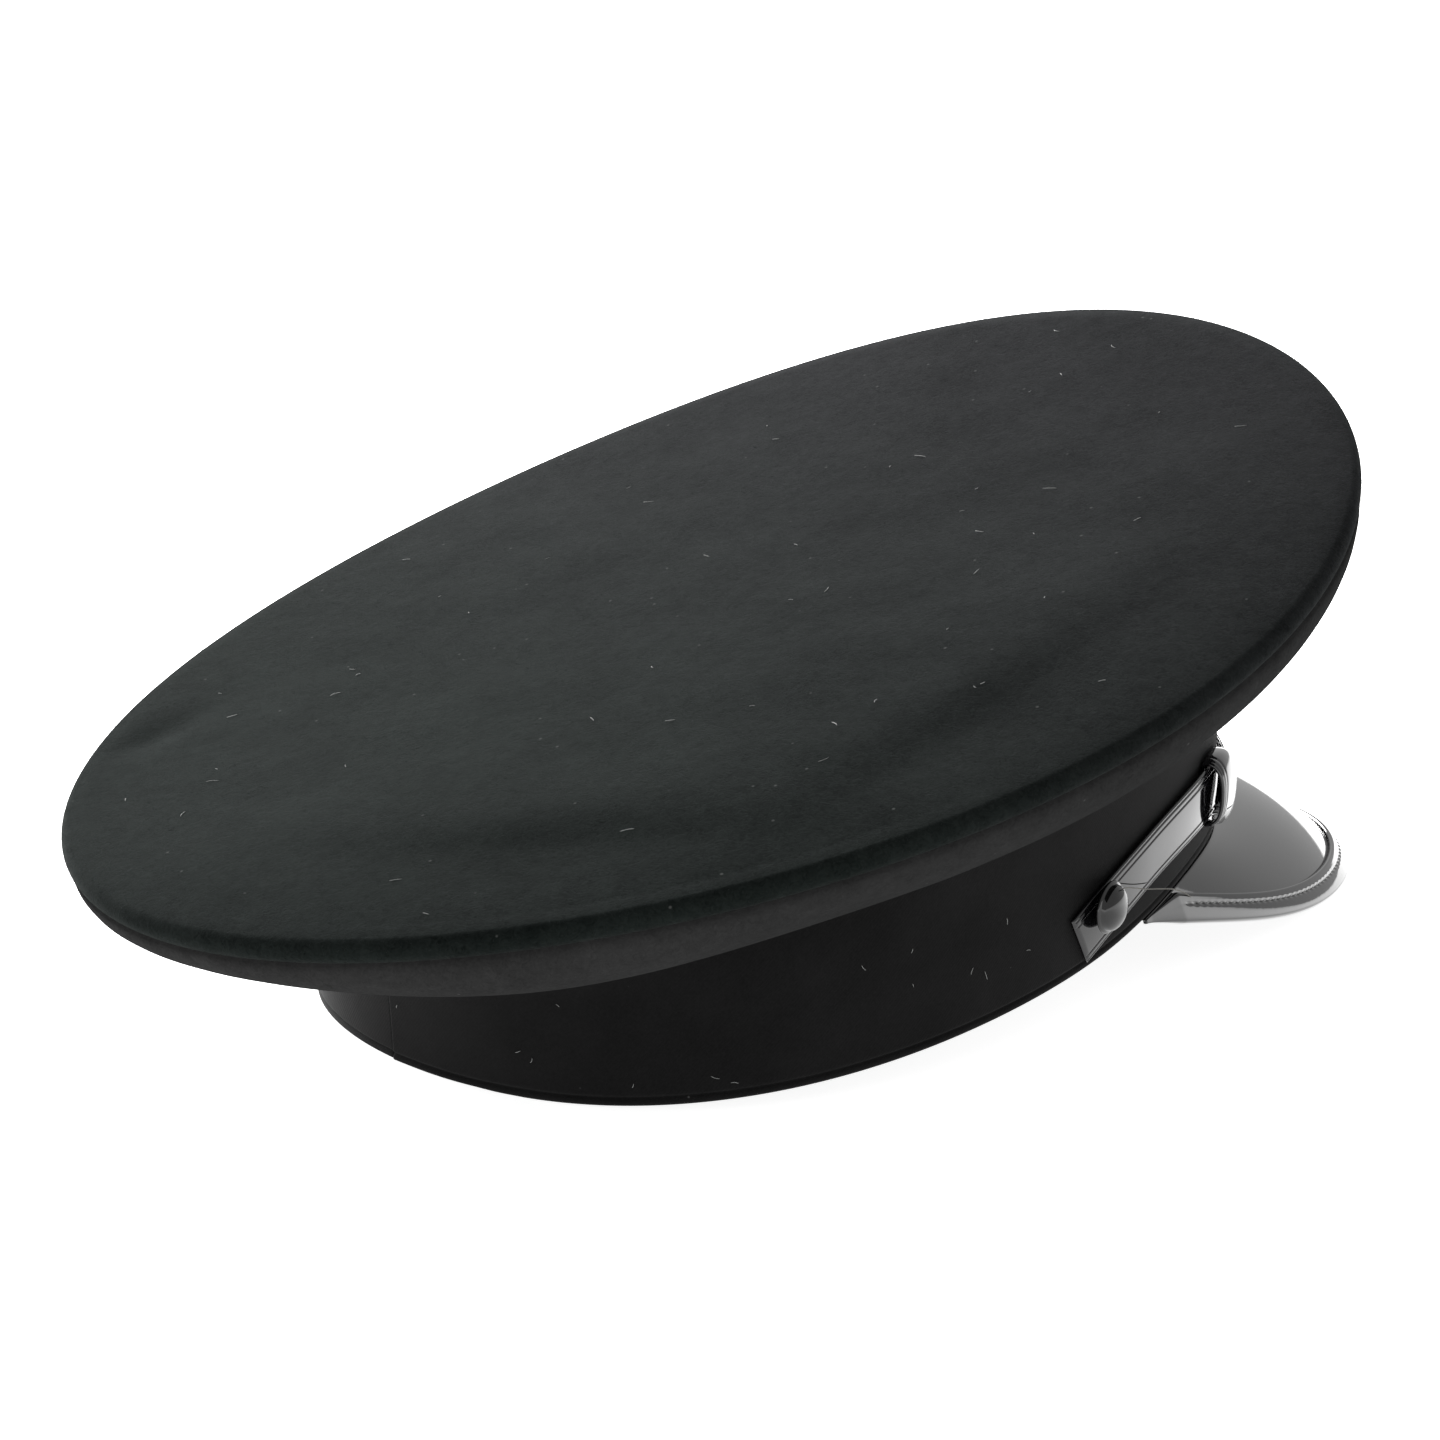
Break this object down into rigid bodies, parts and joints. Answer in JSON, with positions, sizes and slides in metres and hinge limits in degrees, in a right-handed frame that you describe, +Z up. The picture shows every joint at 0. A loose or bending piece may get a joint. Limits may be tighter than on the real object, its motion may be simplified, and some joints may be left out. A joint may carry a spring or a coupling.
{
  "type": "chauffeur cap",
  "caption": "Peaked cap with a wide felt crown high at the front, a black cloth band, a patent peak and a patent chin strap with keepers and buttons.",
  "frame": {"origin": "on the surface that the cap rests on, below the middle of its box", "axes": "+Z up from the surface, -Y towards the front of the cap where the peak is, -X towards the wearer's right"},
  "size_m": [0.2576, 0.3108, 0.128],
  "materials": {
    "felt": "fine charcoal felt with a soft fuzz",
    "band_cloth": "black cloth, matt",
    "patent": "black patent, high gloss",
    "button": "black, high gloss"
  },
  "bodies": {
    "root": {"crown_top": "felt", "crown_side": "felt", "band": "band_cloth", "peak": "patent", "peak_binding": "patent", "strap_right": "patent", "strap_left": "patent", "keeper_right": "patent", "keeper_left": "patent", "button_right": "button", "button_left": "button"}
  },
  "joints": []
}
